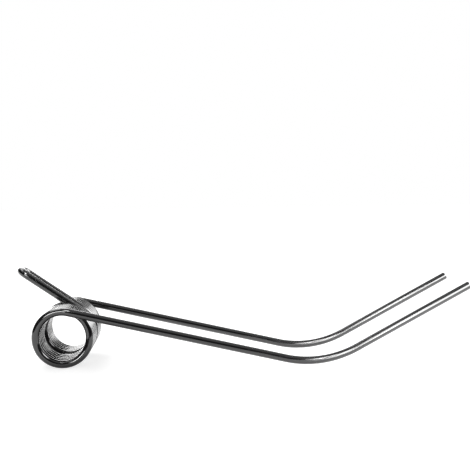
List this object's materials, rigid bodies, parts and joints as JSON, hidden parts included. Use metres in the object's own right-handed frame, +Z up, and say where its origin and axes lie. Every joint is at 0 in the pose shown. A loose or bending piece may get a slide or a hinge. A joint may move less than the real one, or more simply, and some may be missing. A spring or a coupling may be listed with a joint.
{
  "type": "rotary rake tine",
  "caption": "Sprung rake tine bent from one round wire: hairpin bolt loop, close-wound coil pair and long prongs with upturned ends.",
  "frame": {"origin": "on the common axis of the coils, midway between them", "axes": "+X along the prongs towards their tips, Y along the coil axis, +Z up as the tine lies on its coils and prong bends"},
  "size_m": [0.5276, 0.121, 0.1131],
  "materials": {
    "coated_spring_steel": "glossy black coating on spring steel wire"
  },
  "bodies": {
    "root": {"tine_wire": "coated_spring_steel"}
  },
  "joints": []
}
